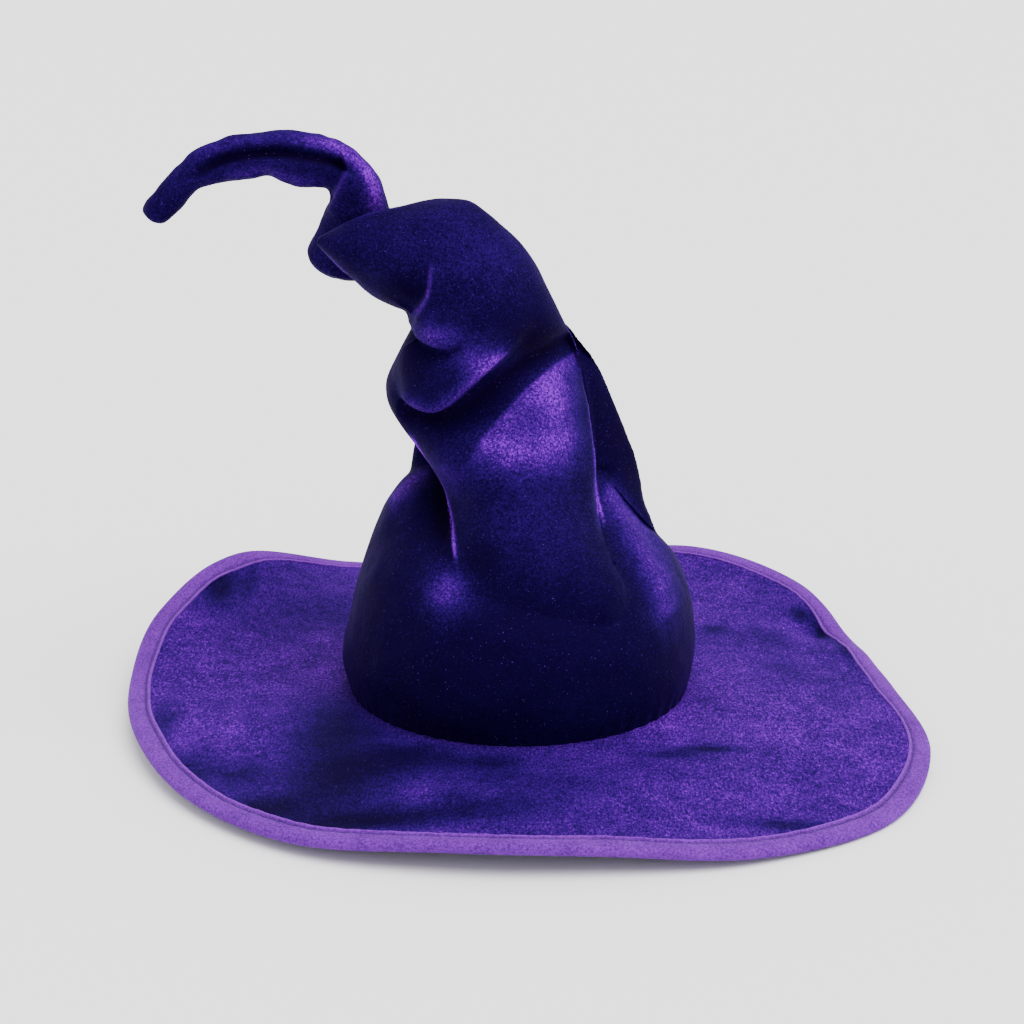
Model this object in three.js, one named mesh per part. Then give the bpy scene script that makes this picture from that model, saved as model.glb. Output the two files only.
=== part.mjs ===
// Witch hat with a crooked velvet crown, a curled wired tip and a wide bound brim.
// Millimetres, +Z up. The hat stands on z = 0 by the lowest waves of its brim, and the
// origin is the middle of its footprint. -Y is the front, and the tip curls towards -X.
// The layers of sewn cloth are separate closed solids with a little play between them.
import * as THREE from 'three';

// Driving dimensions
const HEAD_RADIUS = 91; // inside of the sweatband: a 572 mm head
const PLAY = 0.4; // between neighbouring layers
const VELVET = 1.4; // crown velvet with its fused backing
const BACKING = 1.5; // stiffener band round the head
const LINING = 0.7;
const SWEATBAND = 0.9;
const BRIM_MID_Z = 13.46; // middle of the brim's thickness at the crown seam
const SEAM_Z = 15.7; // where the crown stands on the brim
const BINDING_WIDTH = 12.5;
const BINDING = 0.7; // thickness of the binding cloth
const BINDING_HALF = 3; // half of the bound edge's thickness
const STITCH_IN = 10.3; // the stitches' distance in from the outside of the brim
const EDGE_WIRE_IN = 3; // the same for the wire
const WIRE = 0.8; // radius of the armature wire
const BORE = 1.7; // radius of the channel that the wire lies in

// Sides of the rings that each group of pieces is made of
const HEAD_SIDES = 26;
const UPPER_SIDES = 20;
const TAIL_SIDES = 12;
const WIRE_SIDES = 6;
const BRIM_STEPS = 38;

const COLOURS = {
  velvet: { color: 0x2c1278, roughness: 0.85 },
  binding: { color: 0x8a5cc0, roughness: 0.9 },
  felt: { color: 0x2a2238, roughness: 1.0 },
  lining: { color: 0x16101f, roughness: 0.6 },
  wadding: { color: 0xe8e6e0, roughness: 1.0 },
  thread: { color: 0x7446ae, roughness: 0.8 },
  steel: { color: 0x9a9ca0, roughness: 0.4, metalness: 1.0 },
  vinyl: { color: 0x1c1c1e, roughness: 0.5 },
};

// ---------- rings and the surfaces that join them ----------

// Joins each ring to the next. With loop, the last ring joins the first, as on a tyre.
// Without it, the first and last rings are closed by flat caps. Each four-sided face is
// folded along its higher diagonal, so that neighbouring layers fold the same way.
const UPHILL = new THREE.Vector3(0.3, 0.2, 1);

function skin(rings, loop) {
  const sides = rings[0].length;
  const points = rings.flat();
  const faces = [];
  const spans = loop ? rings.length : rings.length - 1;
  for (let i = 0; i < spans; i++) {
    const near = i * sides;
    const far = ((i + 1) % rings.length) * sides;
    for (let j = 0; j < sides; j++) {
      const k = (j + 1) % sides;
      const [a, b, c, d] = [near + j, near + k, far + k, far + j];
      const height = (m, n) => points[m].dot(UPHILL) + points[n].dot(UPHILL);
      if (height(a, c) > height(b, d)) {
        faces.push([a, b, c], [a, c, d]);
      } else {
        faces.push([a, b, d], [b, c, d]);
      }
    }
  }
  if (!loop) {
    const last = (rings.length - 1) * sides;
    const middles = [middle(rings[0]), middle(rings[rings.length - 1])];
    points.push(...middles);
    for (let j = 0; j < sides; j++) {
      const k = (j + 1) % sides;
      faces.push([points.length - 2, k, j], [points.length - 1, last + j, last + k]);
    }
  }
  const turned = signedVolume(points, faces) < 0;
  const geometry = new THREE.BufferGeometry().setFromPoints(points);
  geometry.setIndex(faces.flatMap(([a, b, c]) => (turned ? [a, c, b] : [a, b, c])));
  geometry.computeVertexNormals();
  return geometry;
}

function signedVolume(points, faces) {
  const across = new THREE.Vector3();
  return faces.reduce((sum, [a, b, c]) => {
    across.crossVectors(points[b], points[c]);
    return sum + points[a].dot(across);
  }, 0);
}

function middle(ring) {
  const sum = new THREE.Vector3();
  ring.forEach((p) => sum.add(p));
  return sum.divideScalar(ring.length);
}

// The same rings moved inwards by a distance, along the surface's normals. An open end
// keeps its ring's size and steps back along the tube, so that the hole there stays.
function inset(rings, distance, { openStart = false, openEnd = false } = {}) {
  const normals = skin(rings, false).getAttribute('normal');
  const sides = rings[0].length;
  const last = rings.length - 1;
  return rings.map((ring, i) => {
    if ((i === 0 && openStart) || (i === last && openEnd)) {
      const inner = middle(rings[i === 0 ? 1 : last - 1]);
      const step = inner.sub(middle(ring)).setLength(distance);
      return ring.map((p) => p.clone().add(step));
    }
    return ring.map((p, j) => {
      const normal = new THREE.Vector3().fromBufferAttribute(normals, i * sides + j);
      return p.clone().addScaledVector(normal, -distance);
    });
  });
}

// A level ring drawn in towards its own middle by a distance.
function shrink(ring, distance) {
  const centre = middle(ring);
  return ring.map((p) => {
    const arm = p.clone().sub(centre);
    return centre.clone().add(arm.setLength(arm.length() - distance));
  });
}

// A ring with its two ends, as [x, z], in the plane of the hat's profile.
function oval([left, right, y, depth], sides) {
  const ends = [left, right].map(([x, z]) => new THREE.Vector3(x, y, z));
  const centre = ends[0].clone().lerp(ends[1], 0.5);
  const half = ends[1].clone().sub(centre);
  return Array.from({ length: sides }, (_, j) => {
    const angle = (2 * Math.PI * j) / sides;
    const p = centre.clone().addScaledVector(half, Math.cos(angle));
    p.y += depth * Math.sin(angle);
    return p;
  });
}

// Round rings on a path of points, square to it.
function tube(path, radii, sides) {
  return path.map((centre, i) => {
    const before = path[Math.max(i - 1, 0)];
    const after = path[Math.min(i + 1, path.length - 1)];
    const along = after.clone().sub(before).normalize();
    const side = new THREE.Vector3(0, 1, 0).cross(along).normalize();
    const up = along.clone().cross(side);
    return Array.from({ length: sides }, (_, j) => {
      const angle = (2 * Math.PI * j) / sides;
      const p = centre.clone().addScaledVector(side, radii[i] * Math.cos(angle));
      return p.addScaledVector(up, radii[i] * Math.sin(angle));
    });
  });
}

// A level circle round the middle of the head opening.
function headRing(radius, z) {
  return oval([[-radius, z], [radius, z], 0, radius], HEAD_SIDES);
}

function piece(name, geometry, colour) {
  const mesh = new THREE.Mesh(geometry, new THREE.MeshStandardMaterial(COLOURS[colour]));
  mesh.name = name;
  return mesh;
}

// A velvet skin, the wadding inside it and the wire inside that, along one length of tube.
function stuffedLength(name, rings) {
  const ends = { openStart: true, openEnd: true };
  const lined = inset(rings, VELVET, ends);
  const filling = inset(rings, VELVET + PLAY, ends);
  filling[0] = shrink(filling[0], PLAY);
  filling[filling.length - 1] = shrink(filling[filling.length - 1], PLAY);
  const path = filling.map(middle);
  const even = (radius) => path.map(() => radius);
  const bore = tube(path, even(BORE), rings[0].length);
  return [
    piece(`${name}_velvet`, skin([...rings, ...lined.reverse()], true), 'velvet'),
    piece(`${name}_wadding`, skin([...filling, ...bore.reverse()], true), 'wadding'),
    piece(`${name}_wire`, skin(tube(path, even(WIRE), WIRE_SIDES), false), 'steel'),
  ];
}

// ---------- lower crown, which holds the head ----------

// Rings from the brim seam up: left end, right end, middle y, half depth.
const HEAD_RINGS = [
  [[-97, 0], [97, 0], 0, 97],
  [[-98, 22], [98, 22], 0, 99],
  [[-95, 44], [95, 42], 0, 96],
  [[-87, 70], [87, 62], 0, 87],
  [[-75, 94], [76, 81], 0, 71],
  [[-50, 110], [52, 99], 2, 46],
  [[-10, 114], [14, 112], 3, 11],
];
const HEAD_TOP_BASE = 3; // first ring that the wadding reaches

function lowerCrown() {
  const outer = HEAD_RINGS.map((ring) => oval(ring, HEAD_SIDES));
  const inner = inset(outer, VELVET);
  inner[0] = shrink(outer[0], VELVET);
  const lining = [
    [HEAD_RADIUS + 2, -2],
    [HEAD_RADIUS + 2, 24],
    [89.5, 44],
    [82, 61],
    [66, 77],
    [40, 90],
    [8, 96],
  ];
  const liningOuter = lining.map(([r, z]) => headRing(r, z));
  const liningInner = inset(liningOuter, LINING);
  liningInner[0] = shrink(liningOuter[0], LINING);
  const above = lining.slice(3).map(([r, z]) => headRing(r + PLAY, z + PLAY));
  const filling = inset(outer, VELVET + PLAY).slice(HEAD_TOP_BASE);

  const band = [
    [HEAD_RADIUS + 4, 0],
    [HEAD_RADIUS + 4.8, 22],
    [HEAD_RADIUS + 2.4, 40],
  ];
  const bandProfile = [...band, ...band.map(([r, z]) => [r - BACKING, z]).reverse()];

  const bandRings = bandProfile.map(([r, z]) => headRing(r, z));
  const sweatRings = [
    [HEAD_RADIUS + SWEATBAND, -2.4],
    [HEAD_RADIUS + SWEATBAND, 23],
    [HEAD_RADIUS, 23],
    [HEAD_RADIUS, -2.4],
  ].map(([r, z]) => headRing(r, z));

  const group = new THREE.Group();
  group.position.z = SEAM_Z;
  group.add(
    piece('lower_crown_velvet', skin([...outer.reverse(), ...inner], false), 'velvet'),
    piece('crown_stiffener_band', skin(bandRings, true), 'felt'),
    piece('crown_lining', skin([...liningOuter.reverse(), ...liningInner], false), 'lining'),
    piece('sweatband', skin(sweatRings, true), 'lining'),
    piece('lower_crown_wadding', skin([...above.reverse(), ...filling], false), 'wadding'),
  );
  return group;
}

// ---------- upper crown, tail and tip ----------

// The stuffed upper crown, from the pinch above the head to the closed end of the crook.
const UPPER_RINGS = [
  [[-2, 118], [6, 117.6], 3, 4],
  [[-44, 122], [49, 115], 4, 44],
  [[-57, 129], [64, 121], 8, 55],
  [[-67, 144], [58, 137], 11, 54],
  [[-71, 162], [48, 158], 10, 49],
  [[-65, 184], [35, 180], 7, 44],
  [[-60, 203], [21, 206], 4, 39],
  [[-58, 211], [8, 234], 1, 35],
  [[-62, 214], [-10, 257], -1, 31],
  [[-70, 216], [-32, 269], -3, 27],
  [[-81, 221], [-56, 266], -5, 21],
  [[-90, 230], [-79, 259], -6, 14],
  [[-98, 240], [-93, 254], -6, 8],
  [[-103, 246.5], [-101.5, 252], -6, 3],
];

// The tail and the tip, as [x, y, z, radius]. Both have rounded ends, and the tail starts
// behind the closed end of the crook, where the cloth folds back on itself.
const TAIL_PATH = [
  [-103, 24, 225, 3],
  [-102, 25, 227, 9],
  [-98, 28, 234, 13.5],
  [-91, 32, 244, 16],
  [-87, 30, 257, 16.8],
  [-88, 26, 268, 15.8],
  [-91, 22, 276, 13],
  [-93, 19, 280, 8],
  [-93.7, 18.2, 281.2, 3],
];
const TIP_PATH = [
  [-97.4, 15.2, 286.4, 3],
  [-99, 14.6, 287.2, 8],
  [-102.5, 13, 288.5, 12],
  [-109, 10, 290.5, 13.6],
  [-123, 5, 292, 12.6],
  [-139, 0, 291.5, 12.6],
  [-153, -3, 289, 11.8],
  [-163.5, -5, 284.5, 10.3],
  [-172, -6, 277.5, 9.3],
  [-180, -7, 269, 9],
  [-185.5, -8, 264, 7.5],
  [-188.5, -8.4, 261.3, 3],
];

function taperedRings(stations) {
  const path = stations.map(([x, y, z]) => new THREE.Vector3(x, y, z));
  return tube(path, stations.map((station) => station[3]), TAIL_SIDES);
}

function upperCrown() {
  const group = new THREE.Group();
  group.position.z = SEAM_Z;
  const crook = UPPER_RINGS.map((ring) => oval(ring, UPPER_SIDES));
  group.add(
    ...stuffedLength('upper_crown', crook),
    ...stuffedLength('tail', taperedRings(TAIL_PATH)),
    ...stuffedLength('tip', taperedRings(TIP_PATH)),
  );
  return group;
}

// ---------- brim ----------

// The brim's edge every 20 degrees from +X, as radius and rise from the crown seam.
const EDGE = [
  [211, -6], [215, -7], [227, 4], [227, 9], [220, 2], [217, -8],
  [222, 9], [228, 27], [223, 13], [216, 1], [215, -1], [219, -5],
  [221, -6], [215, -1], [217, -2], [230, -9], [239, -11], [230, -8],
];
const HOLE_RADIUS = HEAD_RADIUS + 2.9;
const FLAT_SHARE = 0.14; // of the brim's width that stays level next to the crown
const EDGE_CURVE = new THREE.CatmullRomCurve3(
  EDGE.map(([radius, rise], i) => {
    const angle = (2 * Math.PI * i) / EDGE.length;
    return new THREE.Vector3(radius * Math.cos(angle), radius * Math.sin(angle), rise);
  }),
  true,
  'catmullrom',
);

// A point of the brim's middle surface, from the head opening (share 0) to the edge (1).
function brimPoint(turn, share) {
  const angle = 2 * Math.PI * turn;
  const inner = new THREE.Vector3(Math.cos(angle), Math.sin(angle), 0);
  inner.multiplyScalar(HOLE_RADIUS);
  const edge = EDGE_CURVE.getPoint(turn);
  const wave = Math.max(0, (share - FLAT_SHARE) / (1 - FLAT_SHARE));
  const p = inner.clone().lerp(edge, share);
  p.z = edge.z * wave * wave;
  return p;
}

// The brim's section at one turn: each entry is the distance in from the edge, or a share
// of the brim's width if it is under 1, and the height over the middle surface.
function brimSection(turn, outline) {
  return outline.map(([inFromEdge, height]) => {
    const width = brimPoint(turn, 0).distanceTo(brimPoint(turn, 1));
    const share = inFromEdge < 0 ? 1 + inFromEdge / width : inFromEdge;
    const step = 0.01;
    const radial = brimPoint(turn, share + step).sub(brimPoint(turn, share - step));
    const level = new THREE.Vector3(-radial.y, radial.x, 0);
    const normal = radial.clone().cross(level).normalize();
    return brimPoint(turn, share).addScaledVector(normal, height);
  });
}

function brimPiece(name, outline, colour) {
  const rings = Array.from({ length: BRIM_STEPS }, (_, i) => brimSection(i / BRIM_STEPS, outline));
  return piece(name, skin(rings, true), colour);
}

// A flat layer of the brim between two heights, from the head opening to a margin.
function layer(bottom, top, margin) {
  const shares = [0, FLAT_SHARE, 0.45, 0.7, -BINDING_WIDTH - 1, -margin];
  return [
    ...shares.map((share) => [share, top]),
    ...shares.reverse().map((share) => [share, bottom]),
  ];
}

// A small polygon round a point of the brim's section.
function roundSection(inFromEdge, height, radius, sides) {
  return Array.from({ length: sides }, (_, j) => {
    const angle = (2 * Math.PI * (j + 0.5)) / sides;
    return [-inFromEdge + radius * Math.cos(angle), height + radius * Math.sin(angle)];
  });
}

function bindingOutline() {
  const bend = [
    [-BINDING_WIDTH, BINDING_HALF],
    [-STITCH_IN, BINDING_HALF],
    [-2.4, BINDING_HALF],
    [-0.4, 1.6],
    [-0.02, 0],
  ];
  const inside = bend.map(([x, z], i) => [i === 0 ? x : x - BINDING, Math.max(z - BINDING, 0)]);
  const lower = (points) => points.slice(0, -1).map(([x, z]) => [x, -z]);
  return [
    ...bend,
    ...lower(bend).reverse(),
    ...lower(inside),
    ...inside.slice().reverse(),
  ];
}

function brim() {
  const group = new THREE.Group();
  group.position.z = BRIM_MID_Z;
  group.add(
    brimPiece('brim_top_velvet', layer(1.3, 1.8, 5), 'velvet'),
    brimPiece('brim_felt_core', layer(-0.9, 0.9, 5), 'felt'),
    brimPiece('brim_under_velvet', layer(-1.8, -1.3, 5), 'velvet'),
    brimPiece('brim_binding', bindingOutline(), 'binding'),
    brimPiece('brim_edge_wire', roundSection(EDGE_WIRE_IN, 0, 0.9, 5), 'steel'),
    brimPiece('binding_stitch_row', roundSection(STITCH_IN, BINDING_HALF + 0.6, 0.3, 4), 'thread'),
  );
  return group;
}

const hat = new THREE.Group();
hat.name = 'witch_hat';
hat.add(brim(), lowerCrown(), upperCrown());

export default hat;
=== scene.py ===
import math

import bmesh
import bpy
import numpy as np
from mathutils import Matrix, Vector, noise


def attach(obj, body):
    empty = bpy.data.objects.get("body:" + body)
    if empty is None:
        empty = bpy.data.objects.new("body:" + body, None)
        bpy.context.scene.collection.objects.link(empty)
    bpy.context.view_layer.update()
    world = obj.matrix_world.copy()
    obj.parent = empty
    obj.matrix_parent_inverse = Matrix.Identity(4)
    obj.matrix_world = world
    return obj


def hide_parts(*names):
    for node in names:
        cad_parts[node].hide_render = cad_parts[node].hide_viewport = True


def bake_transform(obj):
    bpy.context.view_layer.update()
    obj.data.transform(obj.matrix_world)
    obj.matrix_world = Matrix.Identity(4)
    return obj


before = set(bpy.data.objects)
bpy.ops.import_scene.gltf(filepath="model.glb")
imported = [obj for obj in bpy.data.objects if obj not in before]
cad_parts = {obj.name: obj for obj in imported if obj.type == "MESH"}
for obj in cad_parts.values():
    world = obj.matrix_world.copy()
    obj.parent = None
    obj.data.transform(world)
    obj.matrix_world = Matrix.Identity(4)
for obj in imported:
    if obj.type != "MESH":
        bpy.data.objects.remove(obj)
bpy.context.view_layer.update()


# ---------- camera, floor and light ----------
# The hat stands on a plain pale floor in a white room, under one broad soft lamp. The camera
# looks down on it from the front, from about a metre away.

MM = 0.001
LOOK_AT = Vector((-3.7, 0, 113)) * MM
DISTANCE = 1.15
DOWNWARD = math.radians(17.4)

camera = bpy.data.objects.new("camera", bpy.data.cameras.new("camera"))
camera.data.lens = 74.14
camera.data.sensor_width = 36
camera.data.clip_start = 0.05
towards_camera = Vector((0, -math.cos(DOWNWARD), math.sin(DOWNWARD)))
camera.location = LOOK_AT + DISTANCE * towards_camera
camera.rotation_euler = (math.pi / 2 - DOWNWARD, 0, 0)
bpy.context.collection.objects.link(camera)
bpy.context.scene.camera = camera


sun = bpy.data.lights.new("lamp_above", "SUN")
sun.energy = 4.6
sun.angle = math.radians(50)
sun.color = (1.0, 0.99, 0.98)
sun_holder = bpy.data.objects.new("lamp_above", sun)
sun_holder.rotation_euler = Vector((0.35, -0.3, 1.0)).to_track_quat("Z", "Y").to_euler()
bpy.context.collection.objects.link(sun_holder)

world = bpy.data.worlds.new("studio")
world.use_nodes = True
world.node_tree.nodes["Background"].inputs["Color"].default_value = (1, 1, 1, 1)
world.node_tree.nodes["Background"].inputs["Strength"].default_value = 1.35
bpy.context.scene.world = world


def new_material(name):
    """A material with an empty tree but for its shader, and short ways to add nodes to it."""
    material = bpy.data.materials.new(name)
    material.use_nodes = True
    tree = material.node_tree
    shader = tree.nodes["Principled BSDF"]

    def node(kind, **settings):
        made = tree.nodes.new(kind)
        for key, value in settings.items():
            if key in made.inputs:
                socket = made.inputs[key]
                if isinstance(value, bpy.types.NodeSocket):
                    tree.links.new(value, socket)
                else:
                    socket.default_value = value
            else:
                setattr(made, key, value)
        return made

    return material, tree, shader, node


def mesh_object(name, points, faces, material=None):
    """A smooth-shaded object with its points in metres, standing at the origin."""
    mesh = bpy.data.meshes.new(name)
    mesh.from_pydata([tuple(p) for p in points], [], [tuple(f) for f in faces])
    mesh.update()
    mesh.polygons.foreach_set("use_smooth", [True] * len(mesh.polygons))
    made = bpy.data.objects.new(name, mesh)
    if material:
        mesh.materials.append(material)
    bpy.context.collection.objects.link(made)
    return made


floor_paint, _, floor_shader, _ = new_material("floor_paint")
floor_shader.inputs["Base Color"].default_value = (0.93, 0.93, 0.93, 1)
floor_shader.inputs["Roughness"].default_value = 0.9
FLOOR = 40.0
floor = mesh_object(
    "floor",
    [(-FLOOR, -FLOOR, 0), (FLOOR, -FLOOR, 0), (FLOOR, FLOOR, 0), (-FLOOR, FLOOR, 0)],
    [(0, 1, 2, 3)],
    floor_paint,
)


# ---------- brim: top velvet ----------
# A ring of crushed velvet laid on a stiffened felt core. It lies flat round the crown and
# waves more and more towards its edge, as the wire in the edge has been bent by hand.

# The brim's edge every 20 degrees from +X: radius and rise from the crown seam, in mm
EDGE = [
    (211, -6), (213, -7), (229, 6), (231, 12), (220, 2), (218, -7),
    (219, 5), (229, 26), (226, 14), (217, 1), (215, -1), (217, -5),
    (218, -5), (213, 1), (215, 0), (229, -8), (240, -11), (230, -8),
]
# Where the brim is dented a little: x, y, reach and lift in mm
DIPS = [(176, 88, 13, -5.0), (190, 52, 14, 2.5), (-168, 128, 16, -2.0), (-120, -120, 30, -1.0)]
HOLE = 93.9  # radius of the hole in the felt
BRIM_Z = 13.46  # the felt's middle at the hole
FLAT_SHARE = 0.14  # how much of the brim's width lies flat round the crown
TURNS = 720  # points in each ring round the hat


def spline(rows, steps, closed):
    """Points of a Catmull-Rom curve through rows of numbers, with steps to each span."""
    rows = np.array(rows, float)
    count = len(rows)
    if closed:
        at = np.arange(count * steps) / steps
        pick = lambda k: rows[(at.astype(int) + k) % count]
    else:
        at = np.arange((count - 1) * steps + 1) / steps
        padded = np.vstack([2 * rows[0] - rows[1], rows, 2 * rows[-1] - rows[-2]])
        first = np.minimum(at.astype(int), count - 2)
        pick = lambda k: padded[first + 1 + k]
    t = (at - (at.astype(int) if closed else first))[:, None]
    a, b, c, d = pick(-1), pick(0), pick(1), pick(2)
    return 0.5 * (
        2 * b + (c - a) * t + (2 * a - 5 * b + 4 * c - d) * t**2 + (3 * b - a - 3 * c + d) * t**3
    )


edge_rows = []
for number, (radius, rise) in enumerate(EDGE):
    angle = 2 * math.pi * number / len(EDGE)
    edge_rows.append((radius * math.cos(angle), radius * math.sin(angle), rise))
edge_curve = spline(edge_rows, TURNS // len(EDGE), closed=True)
turn_angles = np.linspace(0, 2 * np.pi, TURNS, endpoint=False)
hole_curve = np.stack(
    [HOLE * np.cos(turn_angles), HOLE * np.sin(turn_angles), np.zeros(TURNS)], axis=1
)
brim_width = np.linalg.norm(edge_curve - hole_curve, axis=1)


def brim_middle(share):
    """The middle surface of the brim at one share of its width, all the way round."""
    share = np.broadcast_to(share, (TURNS,))[:, None]
    points = hole_curve + (edge_curve - hole_curve) * share
    wave = np.maximum(0, (share[:, 0] - FLAT_SHARE) / (1 - FLAT_SHARE))
    points[:, 2] = edge_curve[:, 2] * wave**2 + BRIM_Z
    for x, y, reach, lift in DIPS:
        away = ((points[:, 0] - x) ** 2 + (points[:, 1] - y) ** 2) / reach**2
        points[:, 2] += lift * np.exp(-away)
    return points


def brim_ring(in_from_edge, height):
    """A ring on the brim: a distance in from the edge and a height over the middle, in mm."""
    share = 1 - np.asarray(in_from_edge) / brim_width
    radial = brim_middle(share + 0.01) - brim_middle(share - 0.01)
    level = np.stack([-radial[:, 1], radial[:, 0], np.zeros(TURNS)], axis=1)
    up = np.cross(radial, level)
    up /= np.linalg.norm(up, axis=1)[:, None]
    return brim_middle(share) + up * np.reshape(height, (-1, 1))


def joined_rings(rings, closed_profile):
    """Points in metres and faces of a surface through rings that all have TURNS points."""
    count = len(rings)
    points = np.concatenate(rings) * MM
    faces = []
    for i in range(count if closed_profile else count - 1):
        for j in range(TURNS):
            k = (j + 1) % TURNS
            m = (i + 1) % count
            faces.append((i * TURNS + j, m * TURNS + j, m * TURNS + k, i * TURNS + k))
    return points, faces


def bumps(points, size, seed):
    """Smooth noise from about -1 to 1 at points in mm, with bumps of about that size."""
    shift = Vector((seed * 7.3, seed * 3.1, seed * 5.7))
    return np.array([noise.noise(Vector(p) / size + shift) for p in points])


def smoothstep(low, high, value):
    """0 up to low and 1 from high on, with a soft change between them."""
    t = np.clip((value - low) / (high - low), 0, 1)
    return t * t * (3 - 2 * t)


def points_of(made):
    """Where a piece's points lie, in mm, one row to a point."""
    flat = np.empty(len(made.data.vertices) * 3)
    made.data.vertices.foreach_get("co", flat)
    return flat.reshape(-1, 3) / MM


def keep_rest_place(made):
    """Stores where each point lies at rest, so that a pattern stays on the cloth as it bends."""
    at = made.data.attributes.new("rest_place", "FLOAT_VECTOR", "POINT")
    flat = np.empty(len(made.data.vertices) * 3)
    made.data.vertices.foreach_get("co", flat)
    at.data.foreach_set("vector", flat)


def beside(path, points):
    """Signed distance of points from a path seen from the front, positive on its left, and
    the distance along it, both in mm, with the path's length."""
    path = spline(path, 5, closed=False)
    flat = points[:, [0, 2]]
    best = np.full(len(points), 1e9)
    signed = np.zeros(len(points))
    along = np.zeros(len(points))
    run = 0.0
    for start, end in zip(path[:-1], path[1:]):
        step = end - start
        length = np.linalg.norm(step)
        offset = flat - start
        t = np.clip(offset @ step / length**2, 0, 1)
        away = np.linalg.norm(offset - t[:, None] * step, axis=1)
        side = np.sign(step[0] * offset[:, 1] - step[1] * offset[:, 0])
        nearer = away < best
        best = np.where(nearer, away, best)
        signed = np.where(nearer, away * side, signed)
        along = np.where(nearer, run + t * length, along)
        run += length
    return signed, along, run


def paint_pile_and_light(made, base, strokes, lines=()):
    """Stores a value from 0 to 1 that the velvet turns into its tone: partly how the nap is
    brushed, partly painted highlights and painted shade. A stroke is a middle and a reach in mm,
    and how much it lightens or darkens there. A line is a path on the front, how far it reaches on
    its left and right, and its lift."""
    points = points_of(made)
    pile_and_painted_light = np.full(len(points), float(base))
    for middle, reach, lift in strokes:
        away = (points - middle) / reach
        pile_and_painted_light += lift * np.exp(-(away**2).sum(axis=1))
    for path, left, right, lift in lines:
        signed, along, run = beside(path, points)
        fall = np.exp(-((signed / np.where(signed > 0, left, right)) ** 2))
        fall *= smoothstep(-4, 6, along) * smoothstep(-4, 6, run - along)
        pile_and_painted_light += lift * fall * smoothstep(18, 2, points[:, 1])
    at = made.data.attributes.new("pile_and_painted_light", "FLOAT", "POINT")
    at.data.foreach_set("value", np.clip(pile_and_painted_light, 0, 1))


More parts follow.
